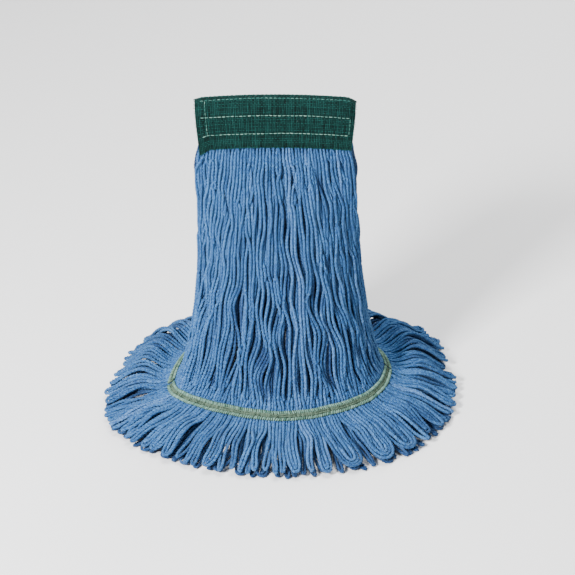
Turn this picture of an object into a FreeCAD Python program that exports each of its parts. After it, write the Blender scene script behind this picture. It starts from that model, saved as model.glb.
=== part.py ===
"""A looped-end string mop head: a folded mesh headband, two halves of yarn, two tail bands and a looped fringe.

The frame: X runs along the headband, the front half is at negative Y, and Z is up. The origin is on the floor
under the middle of the fringe. The two halves are joined only at the headband's fold.
"""

import FreeCAD
import Part
import os

import Sketcher
from FreeCAD import Placement, Rotation, Vector

os.makedirs("parts", exist_ok=True)
doc = FreeCAD.newDocument("StringMop")

FRONT = -1
BACK = 1
HALVES = {"front": FRONT, "back": BACK}

# ---------------------------------------------------------------------------------------------------------
# Driving dimensions, in millimetres and degrees
# ---------------------------------------------------------------------------------------------------------

HEADBAND = {
    "mop_top": 354.5,  # floor to the top of the fold
    "crown_radius": 900.0,  # the headband's ends droop along an arc of this radius
    "band_shift": -6.0,  # the headband's middle, along X
    "mesh_sweep": 10.3,  # degrees of the crown arc that the mesh covers
    "mesh_radius": 17.0,  # outside of the fold
    "mesh_thick": 1.2,
    "mesh_drop": 32.5,  # straight side below the round top
    "lining_sweep": 10.1,
    "lining_radius": 5.8,
    "lining_thick": 1.0,
    "lining_drop": 30.0,
    "arch_sweep": 9.3,  # the folded yarn between the mesh and the lining
    "arch_radius": 15.5,
    "arch_thick": 9.4,
    "arch_drop": 1.0,
}

STITCHING = {
    "stitch_lift": 0.02,  # from the mesh to the underside of a stitch
    "stitch_proud": 0.7,
    "stitch_width": 0.9,
    "stitch_length": 3.3,
    "row_sweep": 9.6,  # degrees of the crown arc from the first stitch to the last
    "row_stitches": 34,
    "upper_turn": 15.0,  # degrees down the round top to the upper row
    "upper_drop": 0.0,
    "middle_turn": 79.0,
    "middle_drop": 0.0,
    "lower_turn": 90.0,
    "lower_drop": 16.0,  # below the round top
    "seam_drop": 0.9,  # an end seam's first stitch below the round top
    "seam_run": 13.0,
    "seam_stitches": 4,
    "left_seam_turn": -4.5,  # degrees of the crown arc from the middle
    "right_seam_turn": 4.85,
}

# Levels of the yarn's outer line, from inside the headband down to the tail band.
#   level: height.  wide: half of the width.  deep: from the centre plane to the outer line at its middle.
#   edge, lip: from the centre plane to the outer and inner lines at their side ends.  thick: of the layer.
#   flat: 1 for a flat slab and 0 for half an oval.  shift: the middle along X.
BELL_COLUMNS = ("level", "wide", "deep", "edge", "lip", "thick", "flat", "shift")
BELL = {
    "tuck": (332.0, 74.0, 15.5, 15.5, 6.1, 9.4, 1.0, -6.0),
    "mouth": (301.0, 75.0, 15.5, 15.5, 6.1, 9.4, 1.0, -6.0),
    "collar": (288.0, 77.5, 19.0, 14.0, 4.0, 10.0, 0.9, -5.5),
    "chest": (256.0, 79.2, 27.0, 10.0, 1.5, 11.0, 0.7, -4.5),
    "waist": (179.0, 83.0, 43.0, 5.0, 0.6, 12.0, 0.4, -2.6),
    "hip": (119.0, 90.0, 57.0, 2.0, 0.6, 12.0, 0.2, -1.0),
    "skirt": (69.0, 100.5, 74.0, 0.6, 0.6, 11.5, 0.05, -1.0),
    "join": (44.4, 107.0, 86.0, 0.6, 0.6, 10.5, 0.0, -1.5),
}

# Levels of the fringe's outer line, from just above the tail band out to the tips and down to the floor.
#   dip: the share by which the line falls back between two tufts.
FRINGE_COLUMNS = ("level", "wide", "deep", "thick", "shift", "dip")
FRINGE = {
    "root": (44.0, 107.3, 86.3, 10.5, -1.5, 0.0),
    "sewn_high": (40.0, 110.0, 89.0, 10.5, -1.5, 0.0),
    "sewn_low": (33.0, 116.5, 95.5, 11.0, -1.5, 0.0),
    "slope": (25.0, 137.0, 113.0, 26.0, -1.0, 0.01),
    "brow": (17.0, 170.0, 142.0, 45.0, -0.5, 0.04),
    "tip": (9.0, 193.0, 162.0, 60.0, 0.0, 0.06),
    "ground": (0.0, 190.0, 159.0, 62.0, 0.0, 0.07),
}

TAIL_BAND = {
    "half_gap": 0.6,  # from the centre plane to each half
    "tape_gap": 0.3,  # from the yarn to a tape, measured level
    "tape_thick": 1.1,
    "thread_gap": 0.05,
    "thread_thick": 0.7,
    "thread_tall": 0.9,
    "upper_thread": 38.4,  # height of each sewn row's lower edge
    "lower_thread": 33.6,
}

COUNTS = {
    "gores": 5,  # yarn bundles in each half, above the tail band
    "gore_steps": 3,  # flats across each bundle
    "tufts": 7,  # fringe tufts in each half
    "tuft_steps": 2,
    "free_turn": 0.4,  # degrees left free at each side of a bundle or tuft
}

sheet = doc.addObject("Spreadsheet::Sheet", "Sizes")
cells_used = 0


def keep_size(alias, number):
    """Write one driving dimension to the sheet."""
    global cells_used
    cells_used += 1
    sheet.set(f"A{cells_used}", alias)
    sheet.set(f"B{cells_used}", str(number))
    sheet.setAlias(f"B{cells_used}", alias)


for group in (HEADBAND, STITCHING, TAIL_BAND, COUNTS):
    for size_name, size_number in group.items():
        keep_size(size_name, size_number)
for levels, columns in ((BELL, BELL_COLUMNS), (FRINGE, FRINGE_COLUMNS)):
    for level_name, numbers in levels.items():
        for column, number in zip(columns, numbers, strict=True):
            keep_size(f"{level_name}_{column}", number)
doc.recompute()


def value(text):
    """The number that an expression over the sheet's aliases comes to."""
    return float(sheet.evalExpression(text))


# ---------------------------------------------------------------------------------------------------------
# Bodies, sketches and polygons
# ---------------------------------------------------------------------------------------------------------

parts = []


def new_body(label):
    """A body for one sub-part. Its label names its file."""
    body = doc.addObject("PartDesign::Body", label)
    body.Label = label
    parts.append(body)
    return body


def new_sketch(body, role):
    """A sketch on one of the body's own origin planes."""
    sketch = body.newObject("Sketcher::SketchObject", f"{body.Name}_outline")
    plane = next(item for item in body.Origin.OriginFeatures if item.Role == role)
    sketch.AttachmentSupport = [(plane, "")]
    sketch.MapMode = "FlatFace"
    return sketch


def add_polygon(sketch, corners):
    """A closed polygon whose corners are pairs of expressions."""
    count = len(corners)
    points = [Vector(value(across), value(along), 0) for across, along in corners]
    sides = [Part.LineSegment(points[k], points[(k + 1) % count]) for k in range(count)]
    sketch.addGeometry(sides, False)
    rules = [Sketcher.Constraint("Coincident", k, 2, (k + 1) % count, 1) for k in range(count)]
    for k, point in enumerate(points):
        rules.append(Sketcher.Constraint("DistanceX", k, 1, point.x))
        rules.append(Sketcher.Constraint("DistanceY", k, 1, point.y))
    sketch.addConstraint(rules)
    for k, (across, along) in enumerate(corners):
        sketch.setExpression(f"Constraints[{count + 2 * k}]", across)
        sketch.setExpression(f"Constraints[{count + 2 * k + 1}]", along)


def add_crown_axis(sketch):
    """The line, parallel to Y, that the headband's crown turns about. It is the sketch's Axis0."""
    height = value("Sizes.mop_top - Sizes.crown_radius")
    reach = 10.0
    line = sketch.addGeometry(Part.LineSegment(Vector(0, height, 0), Vector(reach, height, 0)), True)
    sketch.addConstraint(Sketcher.Constraint("Horizontal", line))
    sketch.addConstraint(Sketcher.Constraint("DistanceX", line, 1, 0.0))
    sketch.addConstraint(Sketcher.Constraint("DistanceX", line, 1, line, 2, reach))
    at = sketch.addConstraint(Sketcher.Constraint("DistanceY", line, 1, height))
    sketch.setExpression(f"Constraints[{at}]", "Sizes.mop_top - Sizes.crown_radius")


def place_on_crown(body, turn):
    """Turn a body about the crown's axis by an expression in degrees, and move it to the headband's middle."""
    centre = "(Sizes.mop_top - Sizes.crown_radius)"
    body.Placement = Placement(Vector(), Rotation(Vector(0, 1, 0), value(turn)))
    body.setExpression("Placement.Rotation.Angle", turn)
    body.setExpression("Placement.Base.x", f"Sizes.band_shift - {centre} * sin({turn})")
    body.setExpression("Placement.Base.z", f"{centre} - {centre} * cos({turn})")


# ---------------------------------------------------------------------------------------------------------
# Headband: mesh, lining and the yarn's fold, each a folded strip turned along the crown
# ---------------------------------------------------------------------------------------------------------


def folded_strip(label, kind):
    """An upside-down U of one layer. The aliases kind_radius, kind_thick, kind_drop and kind_sweep size it."""
    body = new_body(label)
    sketch = new_sketch(body, "YZ_Plane")
    outer = value(f"Sizes.{kind}_radius")
    inner = outer - value(f"Sizes.{kind}_thick")
    drop = value(f"Sizes.{kind}_drop")
    middle = value("Sizes.mop_top - Sizes.mesh_radius")
    centre = Vector(0, middle, 0)
    up = Vector(0, 0, 1)
    half_turn = 3.141592653589793
    sketch.addGeometry(
        [
            Part.ArcOfCircle(Part.Circle(centre, up, outer), 0, half_turn),
            Part.LineSegment(Vector(-outer, middle, 0), Vector(-outer, middle - drop, 0)),
            Part.LineSegment(Vector(-outer, middle - drop, 0), Vector(-inner, middle - drop, 0)),
            Part.LineSegment(Vector(-inner, middle - drop, 0), Vector(-inner, middle, 0)),
            Part.ArcOfCircle(Part.Circle(centre, up, inner), 0, half_turn),
            Part.LineSegment(Vector(inner, middle, 0), Vector(inner, middle - drop, 0)),
            Part.LineSegment(Vector(inner, middle - drop, 0), Vector(outer, middle - drop, 0)),
            Part.LineSegment(Vector(outer, middle - drop, 0), Vector(outer, middle, 0)),
        ],
        False,
    )
    sketch.addConstraint(
        [
            Sketcher.Constraint("Tangent", 0, 2, 1, 1),
            Sketcher.Constraint("Coincident", 1, 2, 2, 1),
            Sketcher.Constraint("Coincident", 2, 2, 3, 1),
            Sketcher.Constraint("Tangent", 3, 2, 4, 2),
            Sketcher.Constraint("Tangent", 4, 1, 5, 1),
            Sketcher.Constraint("Coincident", 5, 2, 6, 1),
            Sketcher.Constraint("Coincident", 6, 2, 7, 1),
            Sketcher.Constraint("Tangent", 7, 2, 0, 1),
            Sketcher.Constraint("Coincident", 0, 3, 4, 3),
            Sketcher.Constraint("PointOnObject", 0, 3, -2),
            Sketcher.Constraint("Vertical", 1),
            Sketcher.Constraint("Vertical", 5),
            Sketcher.Constraint("Horizontal", 2),
            Sketcher.Constraint("Horizontal", 6),
        ]
    )
    for rule, text in (
        (Sketcher.Constraint("DistanceY", 0, 3, middle), "Sizes.mop_top - Sizes.mesh_radius"),
        (Sketcher.Constraint("Radius", 0, outer), f"Sizes.{kind}_radius"),
        (Sketcher.Constraint("Radius", 4, inner), f"Sizes.{kind}_radius - Sizes.{kind}_thick"),
        (Sketcher.Constraint("DistanceY", 1, 2, 1, 1, drop), f"Sizes.{kind}_drop"),
        (Sketcher.Constraint("DistanceY", 5, 2, 5, 1, drop), f"Sizes.{kind}_drop"),
    ):
        at = sketch.addConstraint(rule)
        sketch.setExpression(f"Constraints[{at}]", text)
    add_crown_axis(sketch)
    turned = body.newObject("PartDesign::Revolution", f"{label}_crown")
    turned.Profile = sketch
    turned.ReferenceAxis = (sketch, ["Axis0"])
    turned.Midplane = True
    turned.setExpression("Angle", f"Sizes.{kind}_sweep")
    body.setExpression("Placement.Base.x", "Sizes.band_shift")


folded_strip("headband_mesh", "mesh")
folded_strip("headband_lining", "lining")
folded_strip("yarn_fold", "arch")


# ---------------------------------------------------------------------------------------------------------
# Headband stitching: single stitches on the mesh, repeated along a row or down a seam
# ---------------------------------------------------------------------------------------------------------


def on_mesh(side, turn, rise, drop):
    """A corner at rise above the mesh, turned down the round top, then drop further along the surface."""
    middle = "(Sizes.mop_top - Sizes.mesh_radius)"
    reach = f"(Sizes.mesh_radius + {rise})"
    across = f"{side} * ({reach} * sin({turn}) + ({drop}) * cos({turn}))"
    return across, f"{middle} + {reach} * cos({turn}) - ({drop}) * sin({turn})"


def add_stitch(body, side, turn, drop, tall, length):
    """One stitch: a slab on the mesh, tall along the surface and padded to its length along X."""
    sketch = new_sketch(body, "YZ_Plane")
    low, high = f"{drop} - {tall} / 2", f"{drop} + {tall} / 2"
    under, over = "Sizes.stitch_lift", "Sizes.stitch_proud"
    corners = [(under, low), (over, low), (over, high), (under, high)]
    add_polygon(sketch, [on_mesh(side, turn, rise, along) for rise, along in corners])
    add_crown_axis(sketch)
    pad = body.newObject("PartDesign::Pad", f"{body.Name}_stitch")
    pad.Profile = sketch
    pad.Midplane = True
    pad.setExpression("Length", length)
    return sketch, pad


def stitch_row(half, row):
    """A row of stitches along the headband."""
    body = new_body(f"{half}_{row}_stitching")
    sketch, pad = add_stitch(
        body,
        HALVES[half],
        f"Sizes.{row}_turn",
        f"Sizes.{row}_drop",
        "Sizes.stitch_width",
        "Sizes.stitch_length",
    )
    pattern = body.newObject("PartDesign::PolarPattern", f"{body.Name}_pattern")
    pattern.Originals = [pad]
    pattern.Axis = (sketch, ["Axis0"])
    pattern.setExpression("Angle", "Sizes.row_sweep")
    pattern.setExpression("Occurrences", "Sizes.row_stitches")
    body.Tip = pattern
    place_on_crown(body, "-Sizes.row_sweep / 2")


def end_seam(half, hand):
    """A seam of upright stitches down one end of the headband."""
    body = new_body(f"{half}_{hand}_seam")
    sketch, pad = add_stitch(
        body,
        HALVES[half],
        "90",
        "Sizes.seam_drop",
        "Sizes.stitch_length * 0.8",
        "Sizes.stitch_width",
    )
    pattern = body.newObject("PartDesign::LinearPattern", f"{body.Name}_pattern")
    pattern.Originals = [pad]
    pattern.Direction = (sketch, ["V_Axis"])
    pattern.Reversed = True
    pattern.setExpression("Length", "Sizes.seam_run")
    pattern.setExpression("Occurrences", "Sizes.seam_stitches")
    body.Tip = pattern
    place_on_crown(body, f"Sizes.{hand}_seam_turn")


for half_name in HALVES:
    for row_name in ("upper", "middle", "lower"):
        stitch_row(half_name, row_name)
    for hand_name in ("left", "right"):
        end_seam(half_name, hand_name)


# ---------------------------------------------------------------------------------------------------------
# Yarn and fringe: lofts through level sections, each a slice of the layer between two turns
# ---------------------------------------------------------------------------------------------------------


def level_loft(label, sections):
    """A ruled loft through polygons. Each section is (expression for its height, corners)."""
    body = new_body(label)
    sketches = []
    for height, corners in sections:
        sketch = new_sketch(body, "XY_Plane")
        sketch.setExpression("AttachmentOffset.Base.z", height)
        add_polygon(sketch, corners)
        sketches.append(sketch)
    loft = body.newObject("PartDesign::AdditiveLoft", f"{label}_loft")
    loft.Profile = sketches[0]
    loft.Sections = sketches[1:]
    loft.Ruled = True


def spread_turns(slices, index, steps, free):
    """The turns, from -90 to 90 degrees over a half, at which one slice has its corners."""
    width = 180.0 / slices
    first = -90.0 + width * index + (free if index > 0 else 0.0)
    last = -90.0 + width * (index + 1) - (free if index < slices - 1 else 0.0)
    return [first + (last - first) * step / steps for step in range(steps + 1)]


def bell_section(level, side, turns):
    """A slice of the yarn layer at one level of the bell."""
    outer = []
    inner = []
    for turn in turns:
        along = f"(Sizes.{level}_flat * {turn / 90:.5f} + (1 - Sizes.{level}_flat) * sin({turn:.4f}))"
        inner_wide = f"(Sizes.{level}_wide - Sizes.{level}_thick * (1 - Sizes.{level}_flat))"
        inner_deep = f"(Sizes.{level}_deep - Sizes.{level}_thick)"
        outer_y = f"(Sizes.{level}_edge + (Sizes.{level}_deep - Sizes.{level}_edge) * cos({turn:.4f}))"
        inner_y = f"(Sizes.{level}_lip + ({inner_deep} - Sizes.{level}_lip) * cos({turn:.4f}))"
        outer.append((f"Sizes.{level}_shift + Sizes.{level}_wide * {along}", f"{side} * {outer_y}"))
        inner.append((f"Sizes.{level}_shift + {inner_wide} * {along}", f"{side} * {inner_y}"))
    return f"Sizes.{level}_level", outer + inner[::-1]


def ring_point(side, shift, wide, deep, turn):
    """A corner on half an oval that starts and ends at the half's side of the centre plane."""
    across = f"{shift} + ({wide}) * sin({turn:.4f})"
    return across, f"{side} * (Sizes.half_gap + (({deep}) - Sizes.half_gap) * cos({turn:.4f}))"


def fringe_section(level, side, turns):
    """A slice of the fringe at one level, with its outer corners fallen back between tufts."""
    wide, deep, thick = (f"Sizes.{level}_{word}" for word in ("wide", "deep", "thick"))
    outer = []
    inner = []
    for turn in turns:
        keep = f"(1 - Sizes.{level}_dip)" if turn in (turns[0], turns[-1]) else "1"
        outer.append(ring_point(side, f"Sizes.{level}_shift", f"{wide} * {keep}", f"{deep} * {keep}", turn))
        inner.append(ring_point(side, f"Sizes.{level}_shift", f"{wide} - {thick}", f"{deep} - {thick}", turn))
    return f"Sizes.{level}_level", outer + inner[::-1]


for half_name, half_side in HALVES.items():
    gores = round(value("Sizes.gores"))
    for gore in range(gores):
        gore_turns = spread_turns(gores, gore, round(value("Sizes.gore_steps")), value("Sizes.free_turn"))
        level_loft(
            f"{half_name}_yarn_{gore + 1}",
            [bell_section(level, half_side, gore_turns) for level in BELL],
        )
    tufts = round(value("Sizes.tufts"))
    for tuft in range(tufts):
        tuft_turns = spread_turns(tufts, tuft, round(value("Sizes.tuft_steps")), value("Sizes.free_turn"))
        level_loft(
            f"{half_name}_fringe_{tuft + 1}",
            [fringe_section(level, half_side, tuft_turns) for level in FRINGE],
        )


# ---------------------------------------------------------------------------------------------------------
# Tail bands: a tape outside and a tape inside each half's yarn, sewn together by two rows of thread
# ---------------------------------------------------------------------------------------------------------


def tape_line(column, height):
    """The fringe's outer line at a height between the tail band's two edges."""
    low, high = f"Sizes.sewn_low_{column}", f"Sizes.sewn_high_{column}"
    share = f"(({height}) - Sizes.sewn_low_level) / (Sizes.sewn_high_level - Sizes.sewn_low_level)"
    return f"{low} + ({high} - {low}) * {share}"


def tape_section(side, height, out_from, out_to):
    """Half a ring at one height, between two distances outside the fringe's outer line."""
    tape_turns = spread_turns(1, 0, round(value("Sizes.tufts * Sizes.tuft_steps")), 0.0)
    wide, deep, shift = (tape_line(column, height) for column in ("wide", "deep", "shift"))
    outer = [ring_point(side, shift, f"{wide} + {out_to}", f"{deep} + {out_to}", turn) for turn in tape_turns]
    inner = [ring_point(side, shift, f"{wide} + {out_from}", f"{deep} + {out_from}", turn) for turn in tape_turns]
    return height, outer + inner[::-1]


def backing_section(side, level):
    """Half a ring just inside the fringe's inner line."""
    tape_turns = spread_turns(1, 0, round(value("Sizes.tufts * Sizes.tuft_steps")), 0.0)
    wide = f"Sizes.{level}_wide - Sizes.{level}_thick - Sizes.tape_gap"
    deep = f"Sizes.{level}_deep - Sizes.{level}_thick - Sizes.tape_gap"
    shift = f"Sizes.{level}_shift"
    outer = [ring_point(side, shift, wide, deep, turn) for turn in tape_turns]
    inner = [
        ring_point(side, shift, f"{wide} - Sizes.tape_thick", f"{deep} - Sizes.tape_thick", turn)
        for turn in tape_turns
    ]
    return f"Sizes.{level}_level", outer + inner[::-1]


for half_name, half_side in HALVES.items():
    tape_face = "Sizes.tape_gap + Sizes.tape_thick"
    level_loft(
        f"{half_name}_tail_band",
        [
            tape_section(half_side, f"Sizes.{level}_level", "Sizes.tape_gap", f"({tape_face})")
            for level in ("sewn_high", "sewn_low")
        ],
    )
    level_loft(
        f"{half_name}_tail_band_backing",
        [backing_section(half_side, level) for level in ("sewn_high", "sewn_low")],
    )
    for row_name in ("upper", "lower"):
        level_loft(
            f"{half_name}_tail_{row_name}_thread",
            [
                tape_section(
                    half_side,
                    height,
                    f"({tape_face} + Sizes.thread_gap)",
                    f"({tape_face} + Sizes.thread_gap + Sizes.thread_thick)",
                )
                for height in (
                    f"Sizes.{row_name}_thread + Sizes.thread_tall",
                    f"Sizes.{row_name}_thread",
                )
            ],
        )

# ---------------------------------------------------------------------------------------------------------
# Check every object, then write one file for each sub-part
# ---------------------------------------------------------------------------------------------------------

doc.recompute()
for item in doc.Objects:
    if "Invalid" in item.State or "Error" in item.State:
        raise RuntimeError(f"{item.Label} failed: {item.State}")
for part in parts:
    if part.Shape.isNull() or not part.Shape.isValid() or part.Shape.Volume <= 0:
        raise RuntimeError(f"{part.Label} has no valid solid")
for part in parts:
    part.Shape.exportStep(f"parts/{part.Label}.step")
print(f"{len(parts)} sub-parts written")
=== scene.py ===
"""A looped-end string mop head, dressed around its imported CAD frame. Lengths are in metres."""

import math
from math import pi
from typing import NamedTuple

import bpy
import numpy as np
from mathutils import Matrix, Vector
from numpy.linalg import norm


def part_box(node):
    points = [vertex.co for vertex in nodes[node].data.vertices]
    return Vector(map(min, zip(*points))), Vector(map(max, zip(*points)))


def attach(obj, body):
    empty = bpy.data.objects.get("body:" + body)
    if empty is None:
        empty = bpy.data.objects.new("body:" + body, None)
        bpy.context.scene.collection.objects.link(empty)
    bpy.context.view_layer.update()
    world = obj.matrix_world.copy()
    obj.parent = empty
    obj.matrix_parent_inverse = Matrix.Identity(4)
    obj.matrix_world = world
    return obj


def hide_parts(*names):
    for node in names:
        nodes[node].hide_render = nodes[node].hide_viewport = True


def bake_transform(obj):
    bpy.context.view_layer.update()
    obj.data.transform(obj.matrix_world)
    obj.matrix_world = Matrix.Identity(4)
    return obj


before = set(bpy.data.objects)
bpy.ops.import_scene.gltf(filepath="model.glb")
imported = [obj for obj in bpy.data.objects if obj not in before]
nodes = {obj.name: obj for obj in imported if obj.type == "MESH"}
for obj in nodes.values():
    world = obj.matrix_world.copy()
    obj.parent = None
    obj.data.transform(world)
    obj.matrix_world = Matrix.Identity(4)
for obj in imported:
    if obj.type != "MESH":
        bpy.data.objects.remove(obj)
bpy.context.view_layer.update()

FRONT, BACK = -1, 1

# --- Camera, lights and floor ---

CAMERA_DISTANCE = 2.2
CAMERA_RISE = math.radians(30.0)
CAMERA_LENS = 132.0
CAMERA_AIM = Vector((0.0062, 0.0, 0.135))
LIGHTS_AIM = (0.0, 0.0, 0.15)
LIGHTS = (  # name, place, size and watts
    ("key", (-1.05, -1.4, 1.28), 0.4, 118.0),
    ("top", (0.1, 0.1, 2.3), 1.2, 50.0),
    ("back_light", (0.8, 1.6, 1.3), 1.2, 26.0),
)
SKY, SKY_STRENGTH = (0.95, 0.97, 1.0, 1.0), 0.32


def add_object(name, data):
    piece = bpy.data.objects.new(name, data)
    bpy.context.collection.objects.link(piece)
    return piece


def add_camera():
    """The camera looks along +Y and down at the mop."""
    data = bpy.data.cameras.new("camera")
    data.lens = CAMERA_LENS
    data.sensor_width = 36.0
    camera = add_object("camera", data)
    back = Vector((0.0, -math.cos(CAMERA_RISE), math.sin(CAMERA_RISE)))
    camera.location = CAMERA_AIM + back * CAMERA_DISTANCE
    camera.rotation_euler = (-back).to_track_quat("-Z", "Y").to_euler()
    bpy.context.scene.camera = camera


def add_light(name, place, size, power):
    """A square soft box that points at the mop."""
    data = bpy.data.lights.new(name, "AREA")
    data.shape = "SQUARE"
    data.size = size
    data.energy = power
    light = add_object(name, data)
    light.location = place
    light.rotation_euler = (Vector(LIGHTS_AIM) - Vector(place)).to_track_quat("-Z", "Y").to_euler()


def add_studio():
    """A pale sky, three soft boxes and a pale floor."""
    world = bpy.data.worlds.new("studio")
    bpy.context.scene.world = world
    world.use_nodes = True
    sky = world.node_tree.nodes["Background"]
    sky.inputs["Color"].default_value = SKY
    sky.inputs["Strength"].default_value = SKY_STRENGTH
    for light in LIGHTS:
        add_light(*light)
    bpy.ops.mesh.primitive_plane_add(size=8.0)
    floor = bpy.context.object
    floor.name = "floor"
    paper = bpy.data.materials.new("floor_paper")
    paper.use_nodes = True
    shader = paper.node_tree.nodes["Principled BSDF"]
    shader.inputs["Base Color"].default_value = (0.93, 0.93, 0.93, 1.0)
    shader.inputs["Roughness"].default_value = 0.8
    floor.data.materials.append(paper)


add_camera()
add_studio()

# --- Guide: the yarn's outer face, read from slices of the CAD bundles ---


def node_edges(names):
    """Both ends of every edge of some CAD nodes."""
    ends = []
    for name in names:
        mesh = nodes[name].data
        points = np.empty(3 * len(mesh.vertices))
        mesh.vertices.foreach_get("co", points)
        points = points.reshape(-1, 3)
        pairs = np.empty(2 * len(mesh.edges), dtype=int)
        mesh.edges.foreach_get("vertices", pairs)
        ends.append(points[pairs.reshape(-1, 2)])
    return np.concatenate(ends)


def slice_size(ends, height):
    """Half the width, the middle along X and the greatest depth where edges cross a height."""
    low = ends[:, :, 2].min(axis=1)
    high = ends[:, :, 2].max(axis=1)
    cut = ends[(low < height) & (high > height)]
    share = (height - cut[:, 0, 2]) / (cut[:, 1, 2] - cut[:, 0, 2])
    at = cut[:, 0, :2] + share[:, None] * (cut[:, 1, :2] - cut[:, 0, :2])
    wide = (at[:, 0].max() - at[:, 0].min()) / 2
    return wide, (at[:, 0].max() + at[:, 0].min()) / 2, np.abs(at[:, 1]).max()


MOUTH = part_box("headband_mesh")[0][2]  # height of the headband's lower edge at its ends
TAPE_LOW, TAPE_HIGH = (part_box("front_tail_band")[end][2] for end in (0, 1))
YARN_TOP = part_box("front_yarn_3")[1][2]
STEP = 0.002  # spacing of the guide's samples along the yarn
YARN_SLICES = np.linspace(YARN_TOP - 0.001, 0.0455, 30)  # heights, from the top down
FRINGE_SLICES = np.linspace(0.0435, 0.0095, 14)
SMOOTHING = 0.024
LEAN = 0.030  # how far in front of the centre plane the halves part at the left, near the floor
LEAN_TOP, LEAN_RISE = 0.13, 0.08  # the height where that starts, and the height in which it grows
FLATNESS_FADE = 1.3  # how fast a half's flat face rounds off below the headband
EDGE_FADE = 2.2  # how fast its side edges close up


def ease(share):
    """A smooth step from 0 to 1."""
    share = np.clip(share, 0.0, 1.0)
    return share * share * (3 - 2 * share)


class Guide:
    """The yarn's outer face. A point has a turn, from -1 at the left to 1 at the right, and a reach, the
    distance down the yarn from the top of its CAD bundles."""

    def __init__(self):
        yarn = node_edges([name for name in nodes if "front_yarn_" in name])
        fringe = node_edges([name for name in nodes if "front_fringe_" in name])
        rows = [(height, *slice_size(yarn, height)) for height in YARN_SLICES]
        rows += [(height, *slice_size(fringe, height)) for height in FRINGE_SLICES]
        rows = np.array(rows)
        mean = (rows[:, 1] + rows[:, 3]) / 2
        run = np.hypot(np.diff(mean), np.diff(rows[:, 0]))
        reach = np.concatenate([[0.0], np.cumsum(run)])
        self.reach = np.arange(0.0, reach[-1], STEP)
        even = np.stack([np.interp(self.reach, reach, rows[:, k]) for k in range(4)])
        window = round(SMOOTHING / STEP) | 1
        kernel = np.hanning(window + 2)[1:-1]
        kernel /= kernel.sum()
        padded = np.pad(even, ((0, 0), (window // 2, window // 2)), mode="reflect", reflect_type="odd")
        self.rows = np.stack([np.convolve(row, kernel, mode="valid") for row in padded])
        self.end = self.reach[-1]
        self.mouth = np.interp(-MOUTH, -self.rows[0], self.reach)
        self.tape = [np.interp(-height, -self.rows[0], self.reach) for height in (TAPE_HIGH, TAPE_LOW)]

    def point(self, turn, reach, lean=0.0):
        """Points of a half's outer face, with y as a positive depth. lean moves its left end outwards."""
        height, wide, shift, deep = (np.interp(reach, self.reach, row) for row in self.rows)
        slope = (self.rows[:, -1] - self.rows[:, -8]) / (self.reach[-1] - self.reach[-8])
        over = np.maximum(reach - self.end, 0.0)
        height, wide, deep = height + over * slope[0], wide + over * slope[1], deep + over * slope[3]
        share = np.clip((height - TAPE_HIGH) / (MOUTH - TAPE_HIGH), 0.0, 1.0)
        flat = share**FLATNESS_FADE
        edge = self.rows[3, 0] * share**EDGE_FADE
        angle = turn * pi / 2
        across = shift + wide * (flat * turn + (1 - flat) * np.sin(angle))
        leaning = lean * ease((-turn - 0.2) / 0.8) ** 2 * ease((LEAN_TOP - height) / LEAN_RISE)
        return np.stack([across, edge + (deep - edge) * np.cos(angle) + leaning, height], axis=-1)

    def frame(self, turn, reach, lean=0.0):
        """(point, outward normal, metres for one unit of turn)."""
        near = 0.002
        here = self.point(turn, reach, lean)
        across = self.point(turn + near, reach, lean) - self.point(turn - near, reach, lean)
        down = self.point(turn, reach + near, lean) - self.point(turn, reach - near, lean)
        outward = np.cross(across, down)
        outward /= norm(outward, axis=-1, keepdims=True)
        return here, outward, norm(across, axis=-1) / (2 * near)


guide = Guide()

# --- Yarn routes: down from the headband, under the tail band, round a loop and back up ---

RUNS = 240  # in each half; two make a hairpin
YARN_RADIUS = 0.0018
PRESSED_RADIUS = 0.0012  # inside the headband
SEWN_RADIUS = 0.0015  # under the tail band
FRINGE_RADIUS = 0.00185
BODY_LAYERS = 5
BODY_PITCH = 0.0027  # from one layer to the next
HEADBAND_PITCH = 0.0024
SEWN_PITCH = 0.0030
RUN_START = 0.003  # reach of a run's first point
POINT_STEP = 0.0040  # between a rough route's points
PINCH = 0.4  # share of a column that a run is pushed aside at the headband's mouth
WAVES, WAVE_LENGTHS, WAVE_TWIST, WAVE_SIZE = 7, (0.05, 0.17), 34.0, 0.0042  # the drift that runs share
BUNCHED, BUNCHED_MORE = 0.35, 0.38  # share of that drift at the top, and what is added lower down
FREED_IN, GATHERED_IN = 0.03, 0.016  # lengths in which that drift starts and ends
STRAY_DRIFT, TRUE_DRIFT = 0.0055, 0.0014  # how far a run wanders from its bunch
STRAY_SHARE = 0.2
WANDER_LENGTH = 0.05
KINK, KINK_LENGTH = 0.0007, 0.018
DEPTH_WANDER, DEPTH_BUNCHED = 0.0020, 0.55
LAYERS_SPREAD_IN, LAYERS_MERGE_IN = 0.02, 0.025
CLEAR_OF_MIDDLE = 0.0006

TIGHTEST_BEND = 0.0019
TIP_DRIFT = 0.012  # in turns
STRETCH_SPREAD = (-0.04, 0.02)
SIDE_STRETCH, SIDE_START, SIDE_WIDTH = 0.06, 0.1, 0.35  # the fringe is longer towards a half's ends
END_DROP, END_START, END_WIDTH = 0.65, 0.72, 0.28  # and arches less near them
CORNER_TURN, CORNER_WIDTH = 0.48, 0.22  # where the back fringe reaches furthest out
SHORT_SHARE, SHORTER_BY = 0.2, (0.03, 0.10)  # some small tufts are shorter
SKEW = 0.0045
SWAY = (0.0016, 0.0010, 0.0006)  # largest size of each wave from the tail band to the tip
RIPPLE, RIPPLE_LENGTH = 0.0018, 0.02
HOP = 0.0024  # the same up and down
DROOP = 0.8  # how much of its arch a tuft has lost at its tip


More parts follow.
